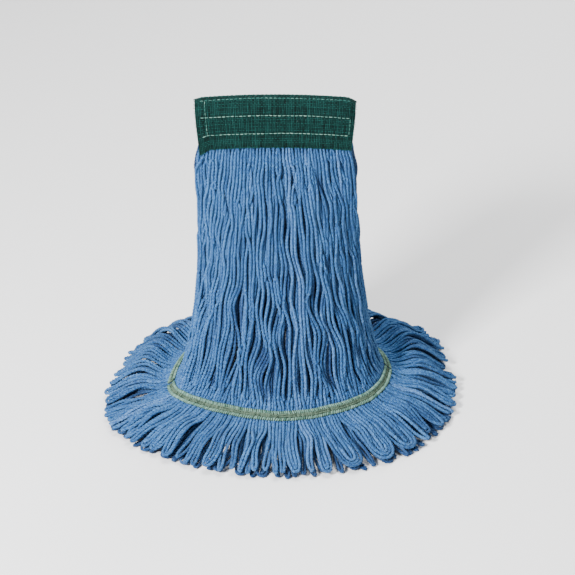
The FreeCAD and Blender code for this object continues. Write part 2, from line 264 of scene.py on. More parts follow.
class Laying(NamedTuple):
    """How one half's yarn is laid."""

    seed: int
    lean: float  # how far the left end stands out near the floor
    lift: float  # how high the fringe arches between the tail band and the tips
    bulge: float  # how much higher an upper tuft may arch
    stretch: float  # the fringe's length, as a share of the CAD fringe's
    corner_stretch: tuple  # what is added to that at the left and the right corner


class Layer(NamedTuple):
    """One of the fringe's two layers of tufts, which takes every second run."""

    order: int  # 0 on top
    pitch: float  # between neighbours at a tuft's tip
    depth: float  # of a tip below the outer face
    sink: tuple  # least and greatest share of its height that a tip sinks by
    rise: tuple  # least and greatest share of the half's lift
    sizes: tuple  # hairpins in one tuft, to choose from, up to each turn


UPPER_SIZES = ((-0.3, (1, 1, 1, 2)), (0.15, (1, 1, 2, 3)), (0.7, (1, 2, 3, 4, 5)), (1.0, (1, 1, 2)))
UPPER = Layer(0, 0.0031, 0.0, (0.0, 0.2), (0.8, 1.0), UPPER_SIZES)
LOWER = Layer(1, 0.0036, 0.0042, (0.35, 1.0), (0.6, 0.95), ((1.0, (1, 1, 1, 2)),))


class Run(NamedTuple):
    """Where one run lies in the headband and under the tail band."""

    first_turn: float
    sewn_turn: float
    layer: int


def wander(rng, along, length):
    """Smooth noise from about -1 to 1 along a run, with bends about length apart."""
    knots = rng.uniform(-1.0, 1.0, int(along.max() / length) + 3)
    at = along / length
    low = at.astype(int)
    return knots[low] + (knots[low + 1] - knots[low]) * ease(at - low)


class Bunching:
    """Sideways drift that neighbouring runs share, so that they bunch and part together."""

    def __init__(self, rng):
        self.lengths = rng.uniform(*WAVE_LENGTHS, WAVES)
        self.twists = rng.uniform(-WAVE_TWIST, WAVE_TWIST, WAVES)
        self.phases = rng.uniform(0.0, 2 * pi, WAVES)
        self.sizes = WAVE_SIZE / np.arange(2, WAVES + 2) ** 0.5

    def drift(self, turn, reach, later=0.0):
        angles = 2 * pi * reach[:, None] / self.lengths + self.twists * turn + self.phases + later
        return np.sin(angles) @ self.sizes


class Tuft:
    """A few hairpins nested in each other, and the shape that they share below the tail band."""

    def __init__(self, rng, laying, layer, loops, middle):
        self.layer = layer
        self.middle = middle
        self.tip_middle = middle + rng.uniform(-TIP_DRIFT, TIP_DRIFT)
        self.widest = TIGHTEST_BEND + (loops - 1) * layer.pitch
        side = abs(middle)
        stretch = laying.stretch + rng.uniform(*STRETCH_SPREAD)
        stretch += SIDE_STRETCH * ease((side - SIDE_START) / SIDE_WIDTH)
        corner = laying.corner_stretch[int(middle > 0)]
        stretch += corner * math.exp(-(((side - CORNER_TURN) / CORNER_WIDTH) ** 2))
        if loops < 3 and rng.random() < SHORT_SHARE:
            stretch -= rng.uniform(*SHORTER_BY)
        fringe = guide.end - guide.tape[1]
        self.centre = guide.tape[1] + fringe * stretch - FRINGE_RADIUS - self.widest
        self.sink = rng.uniform(*layer.sink)
        self.tip_depth = FRINGE_RADIUS + layer.depth
        self.skew = rng.uniform(-SKEW, SKEW)
        self.rise = laying.lift * rng.uniform(*layer.rise)
        self.rise *= 1 - END_DROP * ease((side - END_START) / END_WIDTH)
        if layer is UPPER:
            self.rise += laying.bulge * rng.random() ** 2
        self.sway = rng.uniform(-1.0, 1.0, 3) * SWAY


def share_tufts(rng, layer):
    """How many hairpins each tuft of a layer nests, left to right."""
    hairpins = RUNS // 4
    tufts = []
    while sum(tufts) < hairpins:
        turn = 2 * sum(tufts) / hairpins - 1
        sizes = next(sizes for end, sizes in layer.sizes if turn < end)
        tufts.append(min(int(rng.choice(sizes)), hairpins - sum(tufts)))
    return tufts


def top_turn(column, layer):
    """Where a run lies in the headband."""
    return (column + 0.5 + 0.25 * (layer % 2 - 0.5)) / (RUNS // BODY_LAYERS) * 2 - 1


def body_run(rng, bunching, run, sewn_layer, reach):
    """(turns, depths) of one run from the headband to the tail band and past it."""
    drift = STRAY_DRIFT if rng.random() < STRAY_SHARE else TRUE_DRIFT
    mix = ease((reach - guide.mouth) / (guide.tape[0] - guide.mouth))
    pinch = rng.uniform(-PINCH, PINCH) * 2 * BODY_LAYERS / RUNS * ease(reach / guide.mouth)
    turn = run.first_turn + (run.sewn_turn - run.first_turn) * mix + pinch * (1 - mix)
    _, _, metres = guide.frame(turn, reach)
    free = ease((reach - guide.mouth) / FREED_IN) * ease((guide.tape[0] - reach) / GATHERED_IN)
    bunched = BUNCHED + BUNCHED_MORE * ease((reach - 0.10) / 0.12)
    aside = bunching.drift(run.sewn_turn, reach) * bunched + drift * wander(rng, reach, WANDER_LENGTH)
    aside += KINK * wander(rng, reach, KINK_LENGTH)
    turn = turn + free * aside / metres
    spread = ease((reach - guide.mouth) / LAYERS_SPREAD_IN)
    depth_top = PRESSED_RADIUS + HEADBAND_PITCH * run.layer
    depth_body = YARN_RADIUS + BODY_PITCH * run.layer + DEPTH_WANDER * wander(rng, reach, WANDER_LENGTH)
    depth_body += DEPTH_BUNCHED * np.abs(bunching.drift(run.sewn_turn, reach, 1.9))
    depth_sewn = SEWN_RADIUS + SEWN_PITCH * sewn_layer
    depth = depth_top + (depth_body - depth_top) * spread
    depth = depth + (depth_sewn - depth) * ease(1 - (guide.tape[0] - reach) / LAYERS_MERGE_IN)
    return turn, depth


def leg(rng, bunching, tuft, run, tip_aside):
    """One run down to its loop: (turns, depths, reaches, shares of the way from tail band to tip)."""
    reach = np.arange(RUN_START, tuft.centre, POINT_STEP)
    turn, depth = body_run(rng, bunching, run, tuft.layer.order, reach)
    out = ease((reach - guide.tape[1]) / (tuft.centre - guide.tape[1]))
    _, _, metres = guide.frame(np.full_like(reach, tuft.middle), reach)
    start = (run.sewn_turn - tuft.middle) * np.interp(guide.tape[1], reach, metres)
    ripple = RIPPLE * wander(rng, reach, RIPPLE_LENGTH) * ease((reach - guide.tape[1]) / 0.02)
    swaying = sum(size * np.sin((k + 2) * pi * out) for k, size in enumerate(tuft.sway))
    aside = start + (tip_aside - start) * out + tuft.skew * out * (1 - out) * 4 + swaying + ripple
    fringe_turn = tuft.middle + (tuft.tip_middle - tuft.middle) * out + aside / metres
    below = reach > guide.tape[1]
    turn = np.where(below, fringe_turn, turn)
    depth = np.where(below, depth + (tuft.tip_depth - depth) * out, depth)
    return turn, depth, reach, out


def loop_end(tuft, bend):
    """The half circle between a hairpin's two legs, as leg gives it."""
    steps = max(3, math.ceil(pi * bend / POINT_STEP))
    angles = np.linspace(0.0, pi, steps + 1)[1:-1]
    reach = tuft.centre + bend * np.sin(angles)
    _, _, metres = guide.frame(np.full_like(reach, tuft.middle), reach)
    turn = tuft.tip_middle - bend * np.cos(angles) / metres
    return turn, np.full_like(turn, tuft.tip_depth), reach, np.ones_like(turn)


def hairpin(rng, bunching, tuft, runs, bend, lean):
    """One hairpin: (points, radii, held, outer face and its outward normal at each point)."""
    down, up = (leg(rng, bunching, tuft, run, side * bend) for run, side in zip(runs, (-1, 1), strict=True))
    tip = loop_end(tuft, bend)
    turn, depth, reach, out = (np.concatenate([down[k], tip[k], up[k][::-1]]) for k in range(4))
    face, outward, _ = guide.frame(turn, reach, lean)
    face[:, 2] += tuft.rise * ease(out * 2) * (1 - DROOP * out**5)
    points = face - outward * depth[:, None]
    points[:, 2] += (FRINGE_RADIUS - points[:, 2]) * tuft.sink * out**2
    points[:, 2] += HOP * wander(rng, lengths_along(points), RIPPLE_LENGTH) * ease(out * 3)
    radii = YARN_RADIUS + (FRINGE_RADIUS - YARN_RADIUS) * ease((reach - guide.tape[0]) / 0.03)
    radii += (PRESSED_RADIUS - YARN_RADIUS) * (1 - ease((reach - guide.mouth + 0.004) / 0.014))
    in_tape = (reach > guide.tape[0] - 0.002) & (reach < guide.tape[1] + 0.002)
    radii[in_tape] = SEWN_RADIUS
    held = (reach < guide.mouth + 0.001) | in_tape
    return points, radii, held, face, outward


def lay_half(laying):
    """One half's rough routes: hairpin's five arrays, each point's hairpin and each hairpin's turn."""
    rng = np.random.default_rng(laying.seed)
    bunching = Bunching(rng)
    columns = RUNS // BODY_LAYERS
    layers = np.concatenate([rng.permutation(BODY_LAYERS) for _ in range(columns)])
    first_turns = top_turn(np.repeat(np.arange(columns), BODY_LAYERS), layers)
    sewn_turns = (np.arange(RUNS) + 0.5) / RUNS * 2 - 1
    half_runs = [Run(*places) for places in zip(first_turns, sewn_turns, layers, strict=True)]
    hairpins, middles = [], []
    for layer in (UPPER, LOWER):
        runs = half_runs[layer.order :: 2]
        for loops in share_tufts(rng, layer):
            mine, runs = runs[: 2 * loops], runs[2 * loops :]
            middle = np.mean([run.sewn_turn for run in mine])
            tuft = Tuft(rng, laying, layer, loops, middle)
            for loop in range(loops):
                pair = (mine[loop], mine[2 * loops - 1 - loop])
                bend = tuft.widest - loop * layer.pitch
                hairpins.append(hairpin(rng, bunching, tuft, pair, bend, laying.lean))
                middles.append(middle)
    owner = np.concatenate([np.full(len(each[0]), number) for number, each in enumerate(hairpins)])
    points, radii, held, faces, normals = (np.concatenate(part) for part in zip(*hairpins, strict=True))
    return points, radii, held, faces, normals, owner, np.array(middles)


# --- Settling: runs push each other apart and keep their length ---

SETTLE_ROUNDS = 70
NEAR_MARGIN = 0.0012
PROUD = 0.0008  # how far a run may stand out of the outer face
PUSH = 0.42  # share of an overlap that each of two runs yields in one round
STRAIGHTEN = 0.12
RETURN = 0.02  # pull back to the rough route
PULL = 0.25  # share of a link's change of length that each end makes up
PRESS, PRESS_FRINGE = 0.6, 0.1  # share of what stands too far out that goes back in


def near_pairs(points, owner, reach):
    """Pairs of points closer than reach, apart from near neighbours on one hairpin."""
    cells = np.floor(points / reach).astype(np.int64)
    cells -= cells.min(axis=0) - 1
    span = cells.max(axis=0) + 2
    keys = (cells[:, 0] * span[1] + cells[:, 1]) * span[2] + cells[:, 2]
    order = np.argsort(keys, kind="stable")
    ranked = keys[order]
    pairs = []
    steps = [(i, j, k) for i in (-1, 0, 1) for j in (-1, 0, 1) for k in (-1, 0, 1)]
    for step in steps[13:]:
        wanted = keys + (step[0] * span[1] + step[1]) * span[2] + step[2]
        low = np.searchsorted(ranked, wanted, "left")
        count = np.searchsorted(ranked, wanted, "right") - low
        first = np.repeat(np.arange(len(points)), count)
        offset = np.arange(count.sum()) - np.repeat(np.cumsum(count) - count, count)
        second = order[np.repeat(low, count) + offset]
        keep = first < second if step == (0, 0, 0) else np.ones(len(first), bool)
        pairs.append((first[keep], second[keep]))
    first, second = np.concatenate(pairs, axis=1)
    apart = norm(points[first] - points[second], axis=1) < reach
    other = (owner[first] != owner[second]) | (np.abs(first - second) > 3)
    return first[apart & other], second[apart & other]


def scatter(size, index, moves):
    """The sum of the moves given to each point."""
    return np.stack([np.bincount(index, moves[:, k], size) for k in range(3)], axis=1).astype(float)


def middle_depth(points, lean):
    """How deep the surface between the two halves lies at each point."""
    left = ease((-points[:, 0] - 0.03) / 0.085)
    return lean * left * ease((LEAN_TOP - points[:, 2]) / LEAN_RISE)


def settle(points, radii, held, faces, normals, owner, lean):
    """Rough routes, settled so that yarn hardly passes through yarn and hardly leaves its outer face."""
    target, points = points, points.copy()
    free = np.where(held, 0.0, 1.0)[:, None]
    link = np.flatnonzero(owner[1:] == owner[:-1])
    rest = norm(points[link + 1] - points[link], axis=1)
    inner = np.flatnonzero((owner[2:] == owner[:-2])) + 1
    for turn in range(SETTLE_ROUNDS):
        if turn % 3 == 0:
            first, second = near_pairs(points, owner, 2 * YARN_RADIUS + NEAR_MARGIN)
        gap = points[first] - points[second]
        apart = np.maximum(norm(gap, axis=1), 1e-9)
        overlap = np.maximum(radii[first] + radii[second] - apart, 0.0)
        push = gap / apart[:, None] * (PUSH * overlap)[:, None]
        move = scatter(len(points), first, push) - scatter(len(points), second, push)
        mean = (points[inner - 1] + points[inner + 1]) / 2
        move[inner] += STRAIGHTEN * (mean - points[inner])
        move += RETURN * (target - points)
        points += free * move
        for _ in range(2):
            gap = points[link + 1] - points[link]
            length = norm(gap, axis=1)
            pull = gap * (PULL * (length - rest) / length)[:, None]
            points += free * (scatter(len(points), link, pull) - scatter(len(points), link + 1, pull))
        outside = ((points - faces) * normals).sum(axis=1) + radii - PROUD
        press = np.where(faces[:, 2] > TAPE_LOW, PRESS, PRESS_FRINGE)
        inward = free * press[:, None] * np.maximum(outside, 0)[:, None]
        points -= inward * normals
        points[:, 2] = np.maximum(points[:, 2], radii)
        points[:, 1] = np.maximum(points[:, 1], radii + CLEAR_OF_MIDDLE + middle_depth(points, lean))
    return points


# --- Tubes, and the ropes made of them ---

PLIES = 4
PLY_PITCH = 0.0145  # length in which a ply goes once round
PLY_OUTLINE = (1.02, 0.74)  # radius at a ply's crest and between two plies
TONE_DRIFT, TONE_LENGTH = 0.12, 0.06


def unit(vectors):
    return vectors / np.maximum(norm(vectors, axis=-1, keepdims=True), 1e-12)


def circle(angles):
    return np.stack([np.cos(angles), np.sin(angles)], axis=-1)


def lengths_along(points):
    return np.concatenate([[0.0], np.cumsum(norm(np.diff(points, axis=0), axis=1))])


def refine(values):
    """Twice as many samples, on a smooth curve through the given ones."""
    padded = np.concatenate([2 * values[:1] - values[1:2], values, 2 * values[-1:] - values[-2:-1]])
    between = (9 * (padded[1:-2] + padded[2:-1]) - padded[:-3] - padded[3:]) / 16
    fine = np.empty((2 * len(values) - 1, *values.shape[1:]))
    fine[::2] = values
    fine[1::2] = between
    return fine


def carry_frames(routes):
    """For each route, its tangents and a direction square to them that turns as little as possible."""
    longest = max(len(route) for route in routes)
    tangents = np.zeros((len(routes), longest, 3))
    for k, route in enumerate(routes):
        tangent = unit(np.gradient(route, axis=0))
        tangents[k, : len(route)] = tangent
        tangents[k, len(route) :] = tangent[-1]
    sideways = np.empty_like(tangents)
    current = np.cross(tangents[:, 0], (0.0, 1.0, 0.0))
    current = np.where(norm(current, axis=1, keepdims=True) < 0.2, (1.0, 0.0, 0.0), current)
    for k in range(longest):
        tangent = tangents[:, k]
        current = unit(current - (current * tangent).sum(axis=1, keepdims=True) * tangent)
        sideways[:, k] = current
    return [(sideways[k, : len(route)], tangents[k, : len(route)]) for k, route in enumerate(routes)]


def tube(points, side, up, outline, layers):
    """(vertices, quads, layers) of a closed tube. outline: (side, up) offsets, for one ring or for each."""
    rings, sides = len(points), outline.shape[-2]
    vertices = points[:, None] + side[:, None] * outline[..., 0, None] + up[:, None] * outline[..., 1, None]
    ring = np.arange(rings - 1)[:, None] * sides
    here = np.arange(sides)[None, :]
    after = (here + 1) % sides
    walls = np.stack([ring + here, ring + after, ring + sides + after, ring + sides + here], axis=-1)
    fans = np.array([(0, k, k + 1, k + 2) for k in range(1, sides - 2, 2)])
    ends = np.concatenate([fans[:, ::-1], fans + (rings - 1) * sides])
    quads = np.concatenate([walls.reshape(-1, 4), ends])
    spread = {
        key: np.broadcast_to(value, (rings, sides, *value.shape[2:])).reshape(-1, *value.shape[2:])
        for key, value in layers.items()
    }
    return vertices.reshape(-1, 3), quads, spread


def add_mesh(name, parts, material):
    """One smooth mesh made of (vertices, faces, layers) parts."""
    vertices, faces, layers = [], [], {}
    count = 0
    for part_vertices, part_faces, part_layers in parts:
        vertices.append(part_vertices)
        faces.append(part_faces + count)
        count += len(part_vertices)
        for key, values in part_layers.items():
            layers.setdefault(key, []).append(values)
    mesh = bpy.data.meshes.new(name)
    mesh.from_pydata(np.concatenate(vertices), [], np.concatenate(faces))
    for key, values in layers.items():
        values = np.concatenate(values).astype(np.float32)
        if values.ndim == 1:
            mesh.attributes.new(key, "FLOAT", "POINT").data.foreach_set("value", values)
        else:
            mesh.attributes.new(key, "FLOAT_VECTOR", "POINT").data.foreach_set("vector", values.ravel())
    mesh.shade_smooth()
    mesh.materials.append(material)
    return add_object(name, mesh)


def lay_of_tube(rng, angles, along, radius):
    """Texture places round and along a tube in millimetres, from a random start."""
    places = (*(radius * circle(angles)).T[:, None, :], (along * 1000 + rng.uniform(0, 9000))[:, None])
    return np.stack(np.broadcast_arrays(*places), axis=-1)


def ropes(rng, routes, radii, tones, painted_shade):
    """Tube parts of plied yarn along some routes."""
    crest = np.tile(PLY_OUTLINE, PLIES)
    sides = len(crest)
    angles = np.arange(sides) / sides * 2 * pi
    # painted shade: 1 in the grooves between plies, 0 on their crests
    ply_groove_shade = (crest.max() - crest) / np.ptp(crest)
    parts = []
    strands = zip(carry_frames(routes), routes, radii, tones, painted_shade, strict=True)
    # below: each route's painted shade, from 0 to 1
    for (side, tangent), route, radius, tone, below in strands:
        along = lengths_along(route)
        turn = 2 * pi * (along / PLY_PITCH + rng.random())
        outline = circle(turn[:, None] + angles) * (radius[:, None] * crest)[..., None]
        layers = {
            "lay": lay_of_tube(rng, angles, along, 2),
            "ply_groove_shade": ply_groove_shade[None, :],
            "tone": np.clip(tone + TONE_DRIFT * wander(rng, along, TONE_LENGTH), 0, 1)[:, None],
            "painted_shade": below[:, None],
        }
        parts.append(tube(route, side, np.cross(tangent, side), outline, layers))
    return parts


# --- Shading ---

NOISE_SPREAD = (0.3, 0.7)  # nearly all of a noise lies in here
MOTTLE_SPREAD = (0.38, 0.62)
YARN_COLOURS = (  # from the darkest hairpin's tone to the lightest
    (0.0, (0.042, 0.160, 0.335)),
    (0.35, (0.067, 0.224, 0.445)),
    (0.75, (0.102, 0.288, 0.530)),
    (1.0, (0.172, 0.360, 0.615)),
)
# painted shade tints: the first darkens yarn lying deep below the outer face, the second the grooves
# between plies
PAINTED_SHADE_TINT, GROOVE_SHADE_TINT = (0.16, 0.26, 0.38), (0.26, 0.38, 0.55)
STREAK_TINT, FLECK_TINT, MOTTLE_TINT = (0.50, 0.58, 0.70), (0.22, 0.34, 0.46), (0.30, 0.42, 0.56)


class Shading:
    """A procedural material. Its methods add nodes and return their output sockets."""

    def __init__(self, name, roughness, sheen, sheen_tint=(1.0, 1.0, 1.0)):
        self.material = bpy.data.materials.new(name)
        self.material.use_nodes = True
        self.tree = self.material.node_tree
        self.shader = self.tree.nodes["Principled BSDF"]
        self.feed(self.shader, "Roughness", roughness)
        self.feed(self.shader, "Sheen Weight", sheen)
        self.feed(self.shader, "Sheen Roughness", 0.5)
        self.feed(self.shader, "Sheen Tint", (*sheen_tint, 1.0))
        self.feed(self.shader, "Specular IOR Level", 0.10)
        self.lay = self.layer("lay", "Vector")

    def feed(self, node, key, value):
        """Links a socket to an input, or sets the input to a value."""
        if isinstance(value, bpy.types.NodeSocket):
            self.tree.links.new(value, node.inputs[key])
        else:
            node.inputs[key].default_value = value

    def node(self, kind, **inputs):
        node = self.tree.nodes.new(kind)
        for key, value in inputs.items():
            self.feed(node, int(key) if key.isdigit() else key, value)
        return node

    def layer(self, name, output="Fac"):
        node = self.node("ShaderNodeAttribute")
        node.attribute_name = name
        return node.outputs[output]

    def noise(self, scale, detail, stretch=(1.0, 1.0, 1.0)):
        place = self.node("ShaderNodeMapping", Vector=self.lay, Scale=stretch).outputs["Vector"]
        return self.node("ShaderNodeTexNoise", Vector=place, Scale=scale, Detail=detail).outputs["Fac"]

    def ramp(self, factor, *stops):
        node = self.node("ShaderNodeValToRGB", Fac=factor)
        elements = node.color_ramp.elements
        while len(elements) < len(stops):
            elements.new(0.5)
        for element, (place, colour) in zip(elements, stops, strict=True):
            element.position = place
            element.color = (*colour, 1.0)
        return node.outputs["Color"]

    def mix(self, kind, factor, first, second):
        node = self.node("ShaderNodeMix")
        node.data_type = "RGBA"
        node.blend_type = kind
        for key, value in ((0, factor), (6, first), (7, second)):
            self.feed(node, key, (*value, 1.0) if isinstance(value, tuple) else value)
        return node.outputs[2]

    def scaled(self, factor, low, high, spread=(0.0, 1.0)):
        """A number within spread, mapped from low to high."""
        ends = {"From Min": spread[0], "From Max": spread[1], "To Min": low, "To Max": high}
        return self.node("ShaderNodeMapRange", Value=factor, **ends).outputs["Result"]

    def finish(self, colour, height, distance, strength):
        self.feed(self.shader, "Base Color", colour)
        bump = self.node("ShaderNodeBump", Height=height, Distance=distance, Strength=strength)
        self.feed(self.shader, "Normal", bump.outputs["Normal"])
        return self.material


def yarn_material():
    look = Shading("blue_cotton_yarn", 0.85, 0.10, (0.6, 0.8, 1.0))
    fibres = look.noise(1.0, 4.0, (1.6, 1.6, 0.16))
    fuzz = look.noise(2.6, 2.0)
    mottle = look.noise(0.5, 1.0)
    colour = look.ramp(look.layer("tone"), *YARN_COLOURS)
    # painted shade: darker where the yarn lies deep below the outer face
    under = look.mix("MULTIPLY", look.layer("painted_shade"), colour, PAINTED_SHADE_TINT)
    # painted shade in the grooves between plies
    dark = look.mix("MULTIPLY", look.layer("ply_groove_shade"), under, GROOVE_SHADE_TINT)
    streaked = look.mix("MULTIPLY", look.scaled(fibres, 1.0, 0.0, NOISE_SPREAD), dark, STREAK_TINT)
    flecked = look.mix("SCREEN", look.scaled(fuzz, -0.6, 0.5, NOISE_SPREAD), streaked, FLECK_TINT)
    mottled = look.mix("MULTIPLY", look.scaled(mottle, 1.0, 0.0, MOTTLE_SPREAD), flecked, MOTTLE_TINT)
    return look.finish(mottled, fibres, 0.0006, 0.7)


def thread_material(name, light, dark, roughness=0.8, sheen=0.0):
    """Spun thread: fibre streaks along the lay between two colours."""
    look = Shading(name, roughness, sheen)
    fibres = look.noise(2.2, 3.0, (1.0, 1.0, 0.35))
    patches = look.noise(0.12, 2.0)
    spun = look.scaled(fibres, -0.5, 0.5)
    shade = look.node("ShaderNodeMath", **{"0": spun, "1": look.layer("tone")})
    colour = look.mix("MIX", shade.outputs[0], dark, light)
    worn = look.mix("MULTIPLY", look.scaled(patches, 0.0, 0.7), colour, (0.62, 0.66, 0.64))
    return look.finish(worn, fibres, 0.0002, 0.6)


def cloth_material(name, light, dark, size):
    """Plain woven cloth seen between or behind its threads. Under the headband mesh it is near-black:
    painted shade for the mesh's holes.
    """
    look = Shading(name, 0.8, 0.04)
    weave = look.noise(size, 3.0)
    patches = look.noise(0.15, 2.0)
    colour = look.mix("MIX", weave, dark, light)
    worn = look.mix("MULTIPLY", look.scaled(patches, 0.0, 0.6), colour, (0.6, 0.65, 0.62))
    return look.finish(worn, weave, 0.0003, 0.8)


YARN = yarn_material()
GREEN_RIB = thread_material("green_rib_thread", (0.006, 0.044, 0.039), (0.0003, 0.0064, 0.0056))
GREEN_WEFT = thread_material("green_weft_thread", (0.011, 0.074, 0.065), (0.0005, 0.0105, 0.009))
# the headband mesh's base cloth, near-black as painted shade for the holes between its threads
MESH_HOLE_SHADE_CLOTH = cloth_material("green_mesh_cloth_hole_shade", (0.001, 0.010, 0.009), (0.0005, 0.005, 0.005), 1.5)
LINING_CLOTH = cloth_material("green_lining_cloth", (0.030, 0.115, 0.090), (0.010, 0.055, 0.045), 1.2)
PALE_THREAD = thread_material("pale_green_thread", (0.27, 0.46, 0.38), (0.03, 0.13, 0.11), 0.7, 0.04)
TAPE_CLOTH = cloth_material("olive_tape_cloth", (0.035, 0.060, 0.036), (0.014, 0.026, 0.016), 1.5)
TAPE_THREAD = thread_material("olive_tape_thread", (0.110, 0.165, 0.118), (0.009, 0.022, 0.015))
EDGE_THREAD = thread_material("pale_green_edge_thread", (0.205, 0.335, 0.275), (0.05, 0.12, 0.09))

# --- The yarn, in bundles that stand for the CAD ones ---

BUNDLES = 5
BUNDLE_FRINGES = ((1,), (2, 3), (4,), (5, 6), (7,))
SHADE_START, SHADE_DEPTH = 0.0028, 0.0045  # painted shade: depth where the yarn's colour starts to darken, and the further depth it takes to darken fully
# share of the painted shade that the fringe gets
FRINGE_SHADE = 0.95
YARN_TONE = (0.48, 0.26)  # mean and spread
FRONT_LAYING = Laying(11, LEAN, 0.002, 0.007, 1.0, (0.0, 0.0))
BACK_LAYING = Laying(23, -LEAN, 0.025, 0.0, 1.05, (0.19, 0.52))


def add_yarn(half, side, laying):
    rng = np.random.default_rng(laying.seed + 100)
    points, radii, held, faces, normals, owner, middles = lay_half(laying)
    points = settle(points, radii, held, faces, normals, owner, laying.lean)
    # painted shade: the deeper a point lies below the outer face, the darker its yarn's colour
    depth = ((faces - points) * normals).sum(axis=1)
    painted_shade = np.clip((depth - SHADE_START) / SHADE_DEPTH, 0, 1)
    painted_shade *= np.where(points[:, 2] > TAPE_LOW, 1.0, FRINGE_SHADE)
    points[:, 1] *= side
    hairpins = len(middles)
    splits = [np.flatnonzero(owner == k) for k in range(hairpins)]
    routes = [refine(points[index]) for index in splits]
    thick = [refine(radii[index]) for index in splits]
    tones = np.clip(rng.normal(*YARN_TONE, hairpins), 0, 1)
    parts = ropes(rng, routes, thick, tones, [refine(painted_shade[index]) for index in splits])
    for bundle in range(BUNDLES):
        mine = np.flatnonzero(np.floor((middles + 1) / 2 * BUNDLES) == bundle)
        piece = add_mesh(f"{half}_yarn_bundle_{bundle + 1}", [parts[k] for k in mine], YARN)
        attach(piece, f"{half}_half")
        fringes = [f"{half}_fringe_{number}" for number in BUNDLE_FRINGES[bundle]]
        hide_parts(f"{half}_yarn_{bundle + 1}", *fringes)


add_yarn("front", FRONT, FRONT_LAYING)
add_yarn("back", BACK, BACK_LAYING)

# --- The headband's surface: a strip folded over a crown that droops at both ends ---

MESH_LOW, MESH_HIGH = (np.array(corner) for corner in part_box("headband_mesh"))
CROWN_RADIUS = 0.9
AXIS_HEIGHT = MESH_HIGH[2] - CROWN_RADIUS
FOLD_RADIUS = MESH_HIGH[1]
FOLD_MIDDLE = (MESH_LOW[0] + MESH_HIGH[0]) / 2
FOLD_DROP = 0.0325  # straight side below the round top
QUARTER = FOLD_RADIUS * pi / 2
SIDE_END = QUARTER + FOLD_DROP  # from the fold's top line down to the mouth, over the cloth
ACROSS_END = (MESH_HIGH[0] - MESH_LOW[0]) / 2  # from the headband's middle to an end
HANG = 0.0055  # how much lower the left end's raw cloth hangs
HANG_START, HANG_WIDTH = 0.067, 0.014
CORNER = 0.012  # length of an end that pulls in
LEFT_PULL, RIGHT_PULL = 0.0015, 0.0035


def over_fold(across, down, lift):
    """Points on the folded strip: across from its middle, down from the fold's top line, which is negative
    in front, and lift from the mesh's outer face."""
    across, down, lift = np.broadcast_arrays(across, down, lift)
    angle = np.clip(down / FOLD_RADIUS, -pi / 2, pi / 2)
    corner = np.clip((np.abs(across) - (ACROSS_END - CORNER)) / CORNER, 0, 1.3) ** 2
    pulled = lift - corner * np.where(across > 0, RIGHT_PULL, LEFT_PULL) * np.cos(angle)
    ring = FOLD_RADIUS + pulled
    side_drop = np.maximum(np.abs(down) - QUARTER, 0)
    side_drop = side_drop * (1 + HANG / FOLD_DROP * ease((-across - HANG_START) / HANG_WIDTH))
    out = CROWN_RADIUS - FOLD_RADIUS + (ring * np.cos(angle) - side_drop)
    turn = across / CROWN_RADIUS
    places = (FOLD_MIDDLE + out * np.sin(turn), ring * np.sin(angle), AXIS_HEIGHT + out * np.cos(turn))
    return np.stack(places, axis=-1)


def laid_thread(rng, surface, u, v, lift, wide, tall, sides=6, tones=(0.0, 1.0)):
    """One flat thread's tube part on a surface."""
    points = surface(u, v, lift)
    up = unit(surface(u, v, lift + 0.0005) - points)
    tangent = unit(np.gradient(points, axis=0))
    side = unit(np.cross(tangent, up))
    angles = np.arange(sides) / sides * 2 * pi
    sizes = np.stack(np.broadcast_arrays(wide, tall), axis=-1)
    outline = circle(angles) / 2 * (sizes if sizes.ndim == 1 else sizes[:, None, :])
    along = lengths_along(points)
    lay = lay_of_tube(rng, angles, along, 1)
    tone = np.clip(rng.uniform(*tones) + 0.35 * wander(rng, along, 0.005), 0, 1)[:, None]
    return tube(points, side, np.cross(side, tangent), outline, {"lay": lay, "tone": tone})


def cloth_layer(surface, us, vs, outer, inner):
    """A solid sheet over a grid of a surface, between two lifts."""
    u, v = np.meshgrid(us, vs, indexing="ij")
    rows, columns = u.shape
    vertices = np.concatenate([surface(u, v, lift).reshape(-1, 3) for lift in (outer, inner)])
    index = np.arange(rows * columns).reshape(rows, columns)
    corners = [index[:-1, :-1], index[1:, :-1], index[1:, 1:], index[:-1, 1:]]
    quads = np.stack(corners, axis=-1).reshape(-1, 4)
    rim = np.concatenate([index[:-1, 0], index[-1, :-1], index[:0:-1, -1], index[0, :0:-1]])
    after = np.roll(rim, -1)
    far = rows * columns
    walls = np.stack([rim, rim + far, after + far, after], axis=-1)
    faces = np.concatenate([quads, quads[:, ::-1] + far, walls])
    lay = np.stack([u, v, np.zeros_like(u)], axis=-1).reshape(-1, 3) * 1000
    lay = np.concatenate([lay, lay + (0, 0, 1)])
    return vertices, faces, {"lay": lay}


# --- The headband's cloth, threads and lining, and the yarn over its fold ---

CLOTH_STEPS = 100
CLOTH_INSET, CLOTH_OUTER, CLOTH_INNER = 0.0006, -0.0007, -0.0011
THREAD_LIFT = -0.00036
RIB_PITCH, RIB_WIDE, RIB_TALL = 0.00175, 0.00125, 0.0007
RIB_WAVE, RIB_DRIFT = 0.00010, 0.00022
WEFT_PITCH, WEFT_WIDE, WEFT_TALL = 0.0019, 0.0006, 0.00042
WEFT_WAVE, WEFT_DRIFT = 0.00036, 0.00018
LINING_DROP, LINING_INSET = 0.030, 0.003
LINING_OUTER, LINING_INNER = -0.0002, -0.0009


